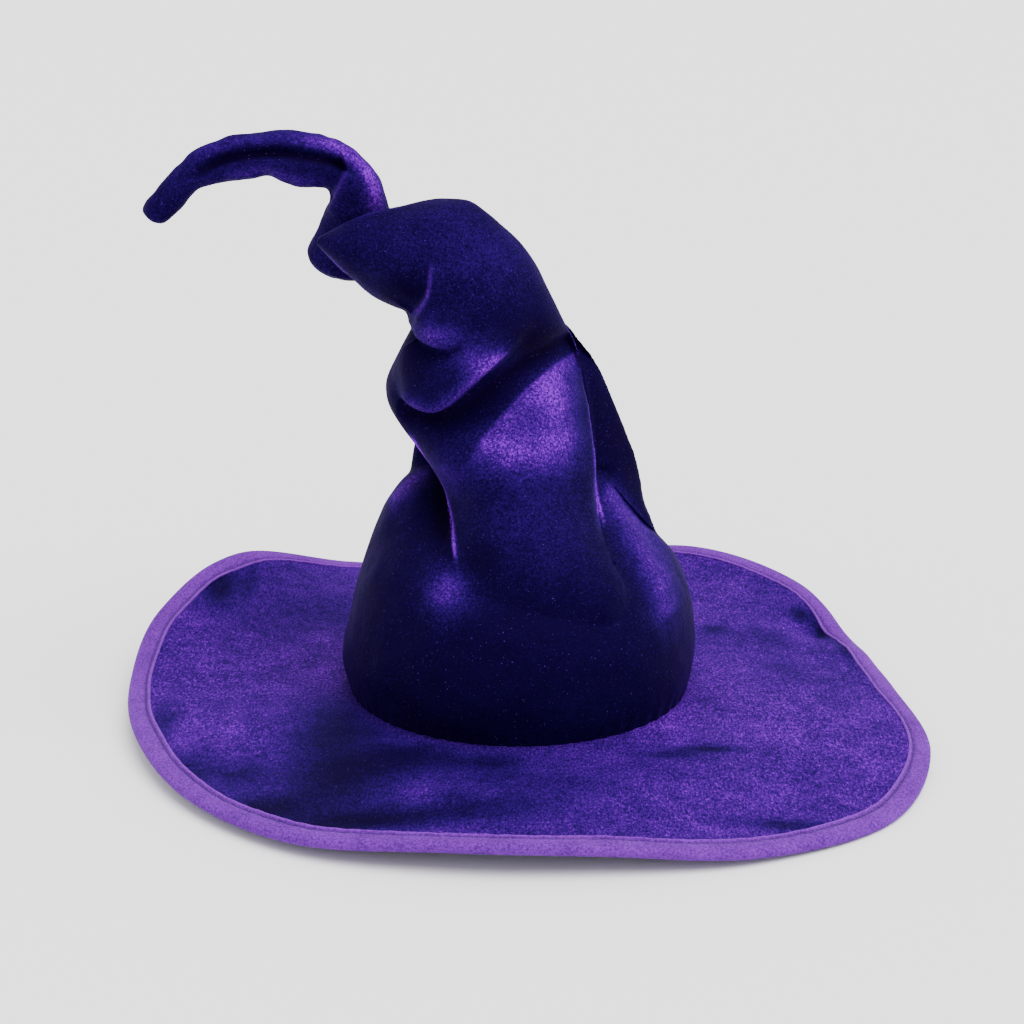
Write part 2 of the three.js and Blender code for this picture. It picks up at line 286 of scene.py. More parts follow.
def velvet(name, shift, grain, streaks_at):
    """Crushed velvet: nearly black where its stored value is low and violet where it is high, with
    a fine grain of single tufts and sparse painted glints. The stored value holds how the nap is
    brushed along with painted highlights and painted shade. grain and streaks_at are how close the
    tufts and the streaks in them lie along x, y and z."""
    material, tree, shader, node = new_material(name)
    place = node("ShaderNodeAttribute", attribute_name="rest_place").outputs["Vector"]
    pile_and_light_fac = node("ShaderNodeAttribute", attribute_name="pile_and_painted_light").outputs["Fac"]
    moved = node("ShaderNodeMapping", Vector=place, Location=shift).outputs[0]
    patches = node(
        "ShaderNodeTexNoise", Vector=moved, Scale=20.0, Detail=6.0, Roughness=0.66, Distortion=0.3
    )
    clouds = node("ShaderNodeTexNoise", Vector=moved, Scale=85.0, Detail=4.0, Roughness=0.7)
    in_rows = node("ShaderNodeMapping", Vector=place, Scale=streaks_at).outputs[0]
    streaks = node("ShaderNodeTexNoise", Vector=in_rows, Scale=1.0, Detail=2.0, Roughness=0.6)
    tufted = node("ShaderNodeMapping", Vector=place, Scale=grain).outputs[0]
    tufts = node("ShaderNodeTexNoise", Vector=tufted, Scale=1.0, Detail=3.0, Roughness=0.9)
    glint_speckle = node("ShaderNodeTexNoise", Vector=moved, Scale=1500.0, Detail=0.0)

    def add_up(base, parts):
        """base, or nothing, plus each part's noise less one half, times its weight."""
        total = base
        for part, weight in parts:
            centred = node("ShaderNodeMath", operation="SUBTRACT")
            tree.links.new(part, centred.inputs[0])
            centred.inputs[1].default_value = 0.5
            added = node("ShaderNodeMath", operation="MULTIPLY_ADD")
            tree.links.new(centred.outputs[0], added.inputs[0])
            added.inputs[1].default_value = weight
            if total is None:
                added.inputs[2].default_value = 0.0
            else:
                tree.links.new(total, added.inputs[2])
            total = added.outputs[0]
        return total

    uneven = add_up(
        None,
        [
            (patches.outputs["Fac"], 0.7),
            (clouds.outputs["Fac"], 0.5),
            (streaks.outputs["Fac"], 0.3),
            (tufts.outputs["Fac"], 2.4),
        ],
    )
    # Where the stored value is low, from flat nap or painted shade, less of the grain shows
    liveliness = node("ShaderNodeMath", operation="MULTIPLY_ADD")
    tree.links.new(pile_and_light_fac, liveliness.inputs[0])
    liveliness.inputs[1].default_value = 0.95
    liveliness.inputs[2].default_value = 0.12
    # The stored value sets the tone, so its painted highlights and painted shade go into the base
    # colour along with the nap's own brushing
    tone = node("ShaderNodeMath", operation="MULTIPLY_ADD")
    tree.links.new(uneven, tone.inputs[0])
    tree.links.new(liveliness.outputs[0], tone.inputs[1])
    tree.links.new(pile_and_light_fac, tone.inputs[2])
    ramp = node("ShaderNodeValToRGB", Fac=tone.outputs[0])
    stops = ramp.color_ramp
    stops.elements[0].position = 0.0
    stops.elements[0].color = (0.0014, 0.0002, 0.008, 1)
    stops.elements[1].position = 1.0
    stops.elements[1].color = (0.17, 0.003, 0.47, 1)
    for position, colour in (
        (0.25, (0.0024, 0.0001, 0.022, 1)),
        (0.5, (0.0115, 0.0001, 0.075, 1)),
        (0.75, (0.045, 0.0002, 0.165, 1)),
    ):
        stops.elements.new(position).color = colour
    # Sparse violet specks: painted glints of single fibres catching the light
    glint = node("ShaderNodeMapRange", Value=glint_speckle.outputs["Fac"])
    glint.inputs["From Min"].default_value = 0.79
    glint.inputs["From Max"].default_value = 0.86
    lit = node("ShaderNodeMix", data_type="RGBA")
    tree.links.new(glint.outputs[0], lit.inputs[0])
    tree.links.new(ramp.outputs["Color"], lit.inputs[6])
    lit.inputs[7].default_value = (0.06, 0.015, 0.2, 1)
    tree.links.new(lit.outputs[2], shader.inputs["Base Color"])
    height = add_up(tufts.outputs["Fac"], [(streaks.outputs["Fac"], 0.6)])
    nap = node("ShaderNodeBump", Height=height, Strength=0.5, Distance=0.0005)
    crush = node("ShaderNodeBump", Height=clouds.outputs["Fac"], Strength=0.3, Distance=0.002)
    tree.links.new(crush.outputs["Normal"], nap.inputs["Normal"])
    tree.links.new(nap.outputs["Normal"], shader.inputs["Normal"])
    shader.inputs["Roughness"].default_value = 0.7
    shader.inputs["Specular IOR Level"].default_value = 0.03
    shader.inputs["Specular Tint"].default_value = (0.5, 0.1, 1.0, 1)
    shader.inputs["Sheen Weight"].default_value = 0.06
    shader.inputs["Sheen Roughness"].default_value = 0.35
    shader.inputs["Sheen Tint"].default_value = (0.25, 0.03, 1.0, 1)
    return material


brim_velvet = velvet("brim_velvet", (0.31, 0.12, 0.4), (860, 420, 860), (800, 260, 700))


# Short wrinkles in the top velvet, where the brim turns up most: x, y to x, y
WRINKLES = [(-152, 150, -171, 94), (-171, 94, -186, 88), (-144, 138, -160, 100)]
WRINKLE_HIGH, WRINKLE_WIDE = 1.5, 2.6
VELVET_IN = 10.6  # how far in from the edge the velvets end, under the binding
VELVET_OFF = 1.8  # how far a velvet's face lies from the felt's middle
SEAM_ALLOWANCE = 1.3  # how far the top velvet runs in past the hole


def brim_cloth(name, side):
    """One velvet of the brim, above (side 1) or below (-1) the felt, with its edges tucked in.
    The upper one runs in past the hole, under the foot of the crown that is sewn to it."""
    width = brim_width + (SEAM_ALLOWANCE if side > 0 else 0.0) - VELVET_IN
    rings = []
    columns = np.concatenate([[0], np.linspace(0.01, 0.9, 64), np.linspace(0.91, 1, 10)])
    for share in columns:
        in_from_edge = width * (1 - share) + VELVET_IN
        ring = brim_ring(in_from_edge, 0)
        spread = smoothstep(0, 0.3, share) * (1 - smoothstep(0.97, 1, share))
        soft = bumps(ring, 46, 2 + side) * 0.7 + bumps(ring, 17, 5 + side) * 0.25
        height = VELVET_OFF + soft * spread
        for x0, y0, x1, y1 in WRINKLES if side > 0 else ():
            step = np.array((x1 - x0, y1 - y0))
            offset = ring[:, :2] - (x0, y0)
            t = np.clip(offset @ step / (step @ step), 0, 1)
            away = np.linalg.norm(offset - t[:, None] * step, axis=1)
            rise = WRINKLE_HIGH * np.exp(-((away / WRINKLE_WIDE) ** 2))
            height += rise * np.sin(np.pi * np.clip(t, 0.05, 0.95))
        height += 0.5 * smoothstep(0.9, 0.97, share) * (1 - smoothstep(0.985, 1, share))
        height = np.where(share > 0.99, 1.6, height)
        rings.append(brim_ring(in_from_edge, side * height))
    if side < 0:
        rings = rings[::-1]
    points, faces = joined_rings(rings, closed_profile=False)
    faces = [face[::-1] for face in faces]
    cloth = mesh_object(name, points, faces, brim_velvet)
    keep_rest_place(cloth)
    return cloth


brim_top = brim_cloth("brim_top_velvet_cloth", 1)
paint_pile_and_light(
    brim_top,
    0.64,
    [
        ((10, -130, 10), (60, 36, 60), -0.1),
        # the dark sweep at the left of the front, along the binding and in from it
        ((-190, -66, 10), (8, 26, 60), -0.26),
        ((-168, -114, 10), (16, 20, 60), -0.28),
        ((-130, -160, 10), (28, 14, 60), -0.4),
        ((-82, -180, 10), (36, 14, 60), -0.34),
        ((-98, -76, 10), (22, 28, 60), -0.3),
        ((-92, -130, 10), (30, 34, 60), -0.42),
        ((-58, -108, 10), (26, 20, 60), -0.3),
        ((-141, -122, 10), (13, 14, 60), -0.24),
        ((-96, -50, 10), (17, 22, 60), -0.2),
        ((-76, -74, 10), (16, 13, 60), -0.16),
        ((-50, -98, 10), (20, 10, 60), -0.12),
        ((-14, -116, 10), (18, 17, 60), -0.16),
        ((-50, -152, 10), (10, 16, 60), 0.12),
        ((-56, -176, 10), (44, 8, 60), -0.16),
        # the lighter left side, and the duller back of it
        ((-175, 0, 10), (40, 36, 60), 0.06),
        ((-130, 104, 10), (42, 50, 60), -0.13),
        ((-20, -166, 10), (40, 14, 60), -0.26),
        ((0, -140, 10), (44, 16, 60), -0.12),
        ((-20, -112, 10), (26, 10, 60), -0.14),
        # painted shade in the hollow at the right of the back, and small darker marks
        ((183, 88, 10), (6, 14, 60), -0.5),
        ((171, 106, 10), (8, 9, 60), -0.36),
        ((192, 58, 10), (5, 20, 60), -0.34),
        ((150, 66, 10), (16, 14, 60), -0.12),
        ((116, 78, 10), (8, 7, 60), -0.26),
        ((98, -96, 10), (14, 4, 60), -0.36),
        ((78, -103, 10), (14, 4, 60), -0.22),
        ((150, 20, 10), (12, 16, 60), -0.12),
        ((130, -172, 10), (24, 5, 60), -0.3),
        ((-181, 110, 20), (12, 26, 60), -0.4),
        ((-164, 116, 20), (5, 24, 60), -0.18),
        ((150, -60, 10), (50, 50, 60), 0.06),
    ],
)
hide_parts("brim_top_velvet")
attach(brim_top, "hat_base")


# ---------- brim: under velvet ----------
# The same ring of velvet on the underside of the felt.

brim_under = brim_cloth("brim_under_velvet_cloth", -1)
paint_pile_and_light(brim_under, 0.5, [])
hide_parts("brim_under_velvet")
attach(brim_under, "hat_base")


# ---------- brim: felt core ----------
# A ring of stiff grey felt between the two velvets, which gives the brim its body.


def two_tone(tree, shader, node, amount, dark, light):
    """Colours a finish from its dark to its light tone, by an amount from 0 to 1."""
    ramp = node("ShaderNodeValToRGB", Fac=amount)
    ramp.color_ramp.elements[0].color = (*dark, 1)
    ramp.color_ramp.elements[1].color = (*light, 1)
    tree.links.new(ramp.outputs["Color"], shader.inputs["Base Color"])
    return ramp.color_ramp


felt_wool, tree, shader, node = new_material("felt_wool")
place = node("ShaderNodeTexCoord").outputs["Object"]
fibres = node("ShaderNodeTexNoise", Vector=place, Scale=900.0, Detail=4.0, Roughness=0.8)
two_tone(tree, shader, node, fibres.outputs["Fac"], (0.09, 0.085, 0.1), (0.2, 0.19, 0.21))
shader.inputs["Roughness"].default_value = 0.95
FELT_IN = 5  # how far in from the brim's edge the felt ends
FELT_HALF = 0.8  # half of its thickness
steps_in = [(brim_width - FELT_IN) * (1 - share) + FELT_IN for share in np.linspace(0, 1, 40)]
over = [brim_ring(in_from_edge, FELT_HALF) for in_from_edge in steps_in]
under = [brim_ring(in_from_edge, -FELT_HALF) for in_from_edge in steps_in[::-1]]
points, faces = joined_rings(under + over, closed_profile=True)
felt = mesh_object("brim_felt", points, faces, felt_wool)
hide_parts("brim_felt_core")
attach(felt, "hat_base")


# ---------- brim: edge wire ----------
# A galvanised steel wire of 2 mm all round inside the fold of the binding, which holds the
# brim's wave.

wire_steel, tree, shader, node = new_material("wire_steel")
place = node("ShaderNodeTexCoord").outputs["Object"]
drawn = node("ShaderNodeTexNoise", Vector=place, Scale=260.0, Detail=3.0)
two_tone(tree, shader, node, drawn.outputs["Fac"], (0.42, 0.43, 0.45), (0.62, 0.63, 0.65))
shader.inputs["Metallic"].default_value = 1.0
shader.inputs["Roughness"].default_value = 0.4
WIRE_IN, WIRE_RADIUS = 3.0, 1.0
rings = []
for angle in np.linspace(0, 2 * np.pi, 12, endpoint=False):
    rings.append(brim_ring(WIRE_IN - WIRE_RADIUS * math.cos(angle), WIRE_RADIUS * math.sin(angle)))
points, faces = joined_rings(rings, closed_profile=True)
wire = mesh_object("brim_wire", points, faces, wire_steel)
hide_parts("brim_edge_wire")
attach(wire, "hat_base")


# ---------- brim: binding ----------
# A light purple fleece tape folded over the edge. A row of stitches 10 mm in from the edge
# sinks a groove into it and leaves a thin rolled lip along the velvet.

binding_cloth, tree, shader, node = new_material("binding_cloth")
place = node("ShaderNodeTexCoord").outputs["Object"]
fuzz = node("ShaderNodeTexNoise", Vector=place, Scale=850.0, Detail=3.0, Roughness=0.8)
shade = node("ShaderNodeTexNoise", Vector=place, Scale=55.0, Detail=3.0, Roughness=0.6)
both = node("ShaderNodeMath", operation="MULTIPLY_ADD")
tree.links.new(fuzz.outputs["Fac"], both.inputs[0])
both.inputs[1].default_value = 2.2
# The binding's tone takes a painted highlight on its lip and painted shade in its groove from the
# nap attribute
lip_highlight_groove_shade = node("ShaderNodeAttribute", attribute_name="nap").outputs["Fac"]
faint = node("ShaderNodeMath", operation="MULTIPLY_ADD")
tree.links.new(shade.outputs["Fac"], faint.inputs[0])
faint.inputs[1].default_value = 0.5
tree.links.new(lip_highlight_groove_shade, faint.inputs[2])
tree.links.new(faint.outputs[0], both.inputs[2])
tones = two_tone(
    tree, shader, node, both.outputs[0], (0.044, 0.002, 0.13), (0.16, 0.018, 0.37)
)
tones.elements[0].position = 0.15
tones.elements[1].position = 0.85
nap = node("ShaderNodeBump", Height=fuzz.outputs["Fac"], Strength=0.45, Distance=0.0004)
tree.links.new(nap.outputs["Normal"], shader.inputs["Normal"])
shader.inputs["Roughness"].default_value = 0.95
shader.inputs["Specular IOR Level"].default_value = 0.1
shader.inputs["Sheen Weight"].default_value = 0.12
shader.inputs["Sheen Roughness"].default_value = 0.5
shader.inputs["Sheen Tint"].default_value = (0.6, 0.3, 1.0, 1)

GROOVE_IN = 9.9
binding_profile = [
    (12.0, 1.7), (12.45, 2.1), (12.5, 2.6), (12.25, 3.05), (11.75, 3.25), (11.2, 3.15),
    (10.7, 2.7), (10.3, 2.1), (GROOVE_IN, 1.75), (9.5, 2.0), (9.0, 2.5), (8.2, 2.85), (6.8, 2.97),
    (5.2, 2.97), (3.8, 2.95), (2.7, 2.85), (1.8, 2.6), (1.05, 2.15), (0.5, 1.55), (0.12, 0.8),
]
profile = binding_profile + [(0, 0)] + [(x, -z) for x, z in binding_profile[::-1]]
hand_sewn = 0.35 * np.sin(turn_angles * 9 + 1) + 0.25 * np.sin(turn_angles * 23 + 2)
pucker = 0.12 * np.sin(turn_angles * 140) + 0.1 * np.sin(turn_angles * 87 + 1.3)
rings = []
for in_from_edge, height in profile:
    share = smoothstep(4, 11, in_from_edge)
    outwards = math.copysign(1, height) if height else 0
    lifted = height + outwards * share * pucker * 0.8
    rings.append(brim_ring(in_from_edge + share * hand_sewn, lifted))
points, faces = joined_rings(rings, closed_profile=False)
binding = mesh_object("brim_binding_tape", points, faces, binding_cloth)
# Painted highlight along the top of the lip and painted shade in the groove, stored as nap and
# added to the tone
in_from_edge = np.array([row[0] for row in profile])
lip_highlight_groove_shade_rows = 0.32 * np.exp(-(((in_from_edge - 11.9) / 0.7) ** 2)) - 0.85
lip_highlight_groove_shade_rows -= 0.3 * np.exp(-(((in_from_edge - GROOVE_IN) / 0.5) ** 2))
at = binding.data.attributes.new("nap", "FLOAT", "POINT")
at.data.foreach_set("value", np.repeat(lip_highlight_groove_shade_rows, TURNS))
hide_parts("brim_binding")
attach(binding, "hat_base")


# ---------- brim: stitches of the binding ----------
# A lockstitch of purple polyester thread all round the groove, 3.2 mm to each stitch.

thread, tree, shader, node = new_material("binding_thread")
place = node("ShaderNodeTexCoord").outputs["Object"]
twist = node("ShaderNodeTexWave", Vector=place, Scale=900.0, Distortion=1.0)
two_tone(tree, shader, node, twist.outputs["Fac"], (0.02, 0.002, 0.07), (0.05, 0.006, 0.15))
shader.inputs["Roughness"].default_value = 0.6


def stitch_tree(name, material):
    """Stitches along a curve: each a short round-ended bar, laid along it."""
    group = bpy.data.node_groups.new(name, "GeometryNodeTree")
    group.interface.new_socket("Curve", in_out="INPUT", socket_type="NodeSocketGeometry")
    for socket in ("Pitch", "Length", "Radius"):
        group.interface.new_socket(socket, in_out="INPUT", socket_type="NodeSocketFloat")
    group.interface.new_socket("Stitches", in_out="OUTPUT", socket_type="NodeSocketGeometry")
    nodes, link = group.nodes, group.links.new
    given = nodes.new("NodeGroupInput")
    result = nodes.new("NodeGroupOutput")
    spaced = nodes.new("GeometryNodeResampleCurve")
    spaced.mode = "LENGTH"
    link(given.outputs["Curve"], spaced.inputs["Curve"])
    link(given.outputs["Pitch"], spaced.inputs["Length"])
    ball = nodes.new("GeometryNodeMeshUVSphere")
    ball.inputs["Segments"].default_value = 8
    ball.inputs["Rings"].default_value = 5
    ball.inputs["Radius"].default_value = 1.0
    stretch = nodes.new("ShaderNodeCombineXYZ")
    link(given.outputs["Radius"], stretch.inputs["X"])
    link(given.outputs["Radius"], stretch.inputs["Y"])
    link(given.outputs["Length"], stretch.inputs["Z"])
    sized = nodes.new("GeometryNodeTransform")
    link(ball.outputs["Mesh"], sized.inputs["Geometry"])
    link(stretch.outputs[0], sized.inputs["Scale"])
    tangent = nodes.new("GeometryNodeInputTangent")
    facing = nodes.new("FunctionNodeAlignRotationToVector")
    facing.axis = "Z"
    link(tangent.outputs[0], facing.inputs["Vector"])
    placed = nodes.new("GeometryNodeInstanceOnPoints")
    link(spaced.outputs["Curve"], placed.inputs["Points"])
    link(sized.outputs["Geometry"], placed.inputs["Instance"])
    link(facing.outputs["Rotation"], placed.inputs["Rotation"])
    real = nodes.new("GeometryNodeRealizeInstances")
    link(placed.outputs["Instances"], real.inputs["Geometry"])
    painted = nodes.new("GeometryNodeSetMaterial")
    painted.inputs["Material"].default_value = material
    link(real.outputs["Geometry"], painted.inputs["Geometry"])
    link(painted.outputs["Geometry"], result.inputs["Stitches"])
    return group


def made_plain(holder, name):
    """The shape that an object's modifiers give, as a plain object in its place."""
    bpy.context.view_layer.update()
    evaluated = holder.evaluated_get(bpy.context.evaluated_depsgraph_get())
    mesh = bpy.data.meshes.new_from_object(evaluated)
    mesh.name = name
    bpy.data.objects.remove(holder)
    made = bpy.data.objects.new(name, mesh)
    bpy.context.collection.objects.link(made)
    return made


def sew(name, path, material, pitch, length, radius):
    """A closed row of stitches along a path of points in metres, as a plain mesh."""
    line = bpy.data.curves.new(name + "_line", "CURVE")
    line.dimensions = "3D"
    run = line.splines.new("POLY")
    run.points.add(len(path) - 1)
    run.points.foreach_set("co", np.hstack([path, np.ones((len(path), 1))]).ravel())
    run.use_cyclic_u = True
    holder = bpy.data.objects.new(name + "_line", line)
    bpy.context.collection.objects.link(holder)
    group = stitch_tree(name + "_tree", material)
    modifier = holder.modifiers.new("stitches", "NODES")
    modifier.node_group = group
    for item in group.interface.items_tree:
        sizes = {"Pitch": pitch, "Length": length / 2, "Radius": radius}
        if item.in_out == "INPUT" and item.name in sizes:
            modifier[item.identifier] = sizes[item.name]
    return made_plain(holder, name)


groove = brim_ring(GROOVE_IN + hand_sewn, 2.05) * MM
stitches = sew("binding_stitches", groove, thread, pitch=0.0032, length=0.0027, radius=0.00028)
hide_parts("binding_stitch_row")
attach(stitches, "hat_base")


# ---------- crown ----------
# One crushed velvet cone, stuffed and wired. It rises from a round bulb over the head,
# crumples into rolls at the waist with a slack panel standing behind them, and folds over
# to the left in a crook. The folds are made as stuffed lobes that overlap, fused into one
# cloth, and then creased where the cloth tucks under itself.

LOBE_SIDES = 120


def lobe(rows, steps):
    """Points and faces of a stuffed lobe, in mm. A row is one ring: the x and z of its left
    end, of its right end, its middle y, its depth to the front and to the back, how sharply
    it is folded at its left and at its right (1 is round), and, if it isn't 0, how much
    further forward its left end lies than its right."""
    rings = []
    for row in spline([(*row, 0)[:10] for row in rows], steps, closed=False):
        left, right = np.array([row[0], row[1]]), np.array([row[2], row[3]])
        centre, half = (left + right) / 2, (right - left) / 2
        angle = np.linspace(0, 2 * np.pi, LOBE_SIDES, endpoint=False)
        across, through = np.cos(angle), np.sin(angle)
        power = 1 + (np.where(across > 0, row[8], row[7]) - 1) * np.abs(across)
        depth = np.where(through < 0, row[5], row[6])
        y = row[4] + row[9] / 2 * across + depth * np.sign(through) * np.abs(through) ** power
        rings.append(
            np.stack([centre[0] + half[0] * across, y, centre[1] + half[1] * across], axis=1)
        )
    count = len(rings)
    points = np.concatenate(rings + [[rings[0].mean(axis=0)], [rings[-1].mean(axis=0)]])
    faces = []
    for j in range(LOBE_SIDES):
        k = (j + 1) % LOBE_SIDES
        for i in range(count - 1):
            a, b = i * LOBE_SIDES, (i + 1) * LOBE_SIDES
            faces.append((a + j, a + k, b + k, b + j))
        faces.append((k, j, count * LOBE_SIDES))
        faces.append(((count - 1) * LOBE_SIDES + j, (count - 1) * LOBE_SIDES + k, len(points) - 1))
    return points, faces


def fused(name, lobes, grain):
    """The lobes joined into one skin of even small faces. grain is their size in mm."""
    points, faces = [], []
    for lobe_points, lobe_faces in lobes:
        faces += [tuple(i + len(points) for i in face) for face in lobe_faces]
        points += [tuple(p * MM) for p in lobe_points]
    rough = mesh_object(name + "_rough", points, faces)
    remesh = rough.modifiers.new("fuse", "REMESH")
    remesh.mode = "VOXEL"
    remesh.voxel_size = grain * MM
    return made_plain(rough, name)


def normals_of(made):
    """Which way a piece's surface faces at each point."""
    flat = np.empty(len(made.data.vertices) * 3)
    made.data.vertices.foreach_get("normal", flat)
    return flat.reshape(-1, 3)


def place_points(made, points):
    """Moves a piece's points to new places, given in mm."""
    made.data.vertices.foreach_set("co", (points * MM).ravel())
    made.data.update()


def relax(made, rounds, amount, share=1.0):
    """Lets the cloth ease: each point moves towards the middle of its neighbours. share is
    how far the easing reaches each point, from 0 to 1."""
    pairs = np.empty(len(made.data.edges) * 2, int)
    made.data.edges.foreach_get("vertices", pairs)
    pairs = pairs.reshape(-1, 2)
    points = points_of(made)
    pull = amount * np.broadcast_to(share, len(points))[:, None]
    count = np.bincount(pairs.ravel(), minlength=len(points))[:, None]
    for _ in range(rounds):
        total = np.zeros_like(points)
        np.add.at(total, pairs[:, 0], points[pairs[:, 1]])
        np.add.at(total, pairs[:, 1], points[pairs[:, 0]])
        points = points + pull * (total / count - points)
    place_points(made, points)


def crease(made, path, depth, left, right, fade=(12, 12), front=True):
    """Sinks (or with a negative depth, raises) a line of the cloth on its front or back. The
    profile falls off over one distance on the left of the path and another on its right."""
    points, normals = points_of(made), normals_of(made)
    signed, along, run = beside(path, points)
    fall = np.exp(-((signed / np.where(signed > 0, left, right)) ** 2))
    if fade[0]:
        fall *= smoothstep(-0.3 * fade[0], fade[0], along)
    if fade[1]:
        fall *= smoothstep(-0.3 * fade[1], fade[1], run - along)
    way = 1 if front else -1
    faces_viewer = smoothstep(0.0, 0.45, -normals[:, 1] * way)
    points[:, 1] += way * depth * fall * faces_viewer
    place_points(made, points)


bulb = [
    (-92, 6, 92, 6, 0, 92, 92, 1, 1),
    (-93.4, 15, 93.4, 15, 0, 93.6, 93.6, 1, 1),
    (-96.6, 27, 96, 28, 0, 97, 97, 1, 1),
    (-97.2, 40, 97, 44, 0, 98, 98, 1, 1),
    (-93, 58, 96, 62, 0, 95, 94, 1, 1),
    (-87, 80, 90, 78, 0, 86, 87, 1, 1),
    (-80, 99, 80, 93, 2, 70, 74, 1, 1),
    (-74, 113, 67, 107, 5, 54, 60, 1, 1.1),
    (-68, 123, 56, 120, 9, 38, 48, 1, 1.1),
    (-60, 131, 47, 131, 12, 26, 38, 1, 1),
    (-48, 136, 34, 137, 14, 14, 24, 1, 1),
    (-20, 138, 10, 139, 14, 4, 8, 1, 1),
]
torso = [
    (-10, 66, 44, 64, -66, 4, 8, 1, 1),
    (-24, 76, 54, 76, -66, 16, 20, 1.2, 1.0),
    (-31, 90, 56, 89, -61, 20, 30, 1.4, 1.3),
    (-35, 104, 51, 102, -51, 27, 34, 1.6, 1.7),
    (-37, 118, 45, 114, -40, 32, 40, 1.7, 1.8),
    (-40, 136, 42, 130, -29, 36, 46, 1.7, 1.8),
    (-51, 150, 41, 147, -19, 39, 48, 1.4, 1.8),
    (-61, 162, 40, 160, -10, 42, 48, 1.2, 1.8),
    (-70, 175, 37.5, 174, -3, 43, 46, 1.0, 1.7),
    (-71, 187, 35, 186, 0, 42, 43, 1.0, 1.6),
    (-64, 203, 31, 204, 1, 38, 40, 1.1, 1.4),
    (-57, 218, 24, 219, 0, 35, 38, 1.1, 1.2),
    (-58, 225, 15, 237, -1, 33, 36, 1.2, 1.1),
    (-60, 226, 5, 257, -3, 32, 34, 1.2, 1.1),
    (-63, 226, -9, 271, -4, 31, 32, 1.3, 1.1),
    (-67, 228, -27, 284, -5, 29, 30, 1.3, 1.1),
    (-74, 232, -46, 285, -6, 26, 27, 1.4, 1.2),
    (-81, 237, -61, 281.5, -6, 22, 23, 1.4, 1.3),
    (-88, 243, -74, 278.5, -6, 18, 19, 1.4, 1.4),
    (-95, 250, -87, 274, -6, 14, 15, 1.4, 1.4),
    (-101, 256, -97, 269.5, -6, 9, 10, 1.4, 1.4),
    (-106.5, 261.5, -105.5, 265, -6, 3, 4, 1.2, 1.2),
]
upper_roll = [
    (-66, 189, -66, 199, -12, 2, 8, 1, 1, 4),
    (-59, 183, -59, 211, -25, 6, 10, 1, 1, 10),
    (-47, 180.5, -47, 216, -35, 7, 12, 1, 1, 14),
    (-36, 184.5, -34, 218, -39, 7, 12, 1, 1, 14),
    (-26, 192, -21, 220, -40, 6, 12, 1, 1, 12),
    (-15, 201, -9, 222, -38, 5, 12, 1, 1, 10),
    (-5, 209, 0, 224, -34, 4, 10, 1, 1, 6),
    (3, 216, 8, 225, -28, 1.5, 8, 1, 1, 2),
]
crook_lip = [
    (-59, 220, -60, 228, -8, 2, 8, 1, 1, 4),
    (-54, 216, -57, 232, -15, 7, 8, 1, 1, 12),
    (-46, 213.5, -51, 236, -26, 9, 10, 1, 1, 16),
    (-38, 213, -44, 238, -31, 8, 10, 1, 1, 16),
    (-30, 215, -36, 238, -34, 5, 10, 1, 1, 10),
    (-24, 219, -28, 236, -33, 2, 8, 1, 1, 4),
]
back_panel = [
    (-20, 226, 4, 228, 16, 4, 6, 1, 1),
    (-42, 216, 21, 218, 18, 13, 18, 1, 1.4),
    (-50, 202, 33, 203, 22, 17, 22, 1, 1.4),
    (-55, 186, 45, 187, 26, 19, 26, 1, 1.4),
    (-57, 170, 53, 168, 28, 20, 30, 1, 1.4),
    (-57, 152, 60, 149, 28, 22, 34, 1, 1.4),
    (-59, 136, 65, 133, 26, 24, 38, 1, 1.4),
    (-62, 122, 69, 118, 23, 26, 44, 1, 1.5),
    (-68, 106, 75, 101, 18, 28, 54, 1, 1.5),
    (-72, 90, 80, 82, 12, 30, 66, 1, 1.2),
    (-60, 70, 70, 64, 10, 20, 60, 1, 1),
    (-20, 60, 20, 58, 10, 6, 20, 1, 1),
]
crown = fused(
    "crown_velvet_cloth",
    [lobe(rows, 8) for rows in (bulb, torso, upper_roll, crook_lip, back_panel)],
    1.5,
)
relax(crown, 3, 0.5)

# The tuck that runs up to the right across the waist, under the upper roll
tuck = [(-64, 176), (-46, 174), (-26, 180), (-11, 192), (3, 202), (16, 208), (30, 209)]
crease(crown, tuck, 12, 5, 17, fade=(14, 0))
crease(crown, [(-62, 167), (-46, 166), (-24, 160), (-4, 176), (18, 192), (32, 197)], -2.5, 8, 16)
# The swells of the bulb, and the ridge of its right shoulder
crease(crown, [(47, 132), (57, 117), (69, 103), (80, 89), (86, 76)], -5, 9, 9)
crease(crown, [(-54, 98), (-40, 96), (-28, 92)], -5, 13, 13)
crease(crown, [(-74, 118), (-60, 124), (-48, 128)], -3, 8, 10)
relax(crown, 1, 0.5)

# The broad folds down its back, and the seam that closes the cone
crease(crown, [(-50, 196), (-24, 178), (8, 170), (36, 178)], 9, 12, 6, (16, 14), front=False)
crease(crown, [(-40, 214), (-16, 196), (14, 190)], -4, 12, 12, (12, 12), front=False)
crease(crown, [(-30, 156), (-44, 132), (-52, 104), (-50, 78)], 7, 6, 14, (16, 20), front=False)
crease(crown, [(34, 150), (46, 124), (44, 96), (36, 70)], 7, 14, 6, (16, 20), front=False)
crease(crown, [(-26, 262), (-12, 244), (-8, 226)], 5, 5, 12, (10, 10), front=False)
crease(crown, [(-60, 262), (-50, 244), (-52, 230)], 4, 10, 5, (8, 8), front=False)

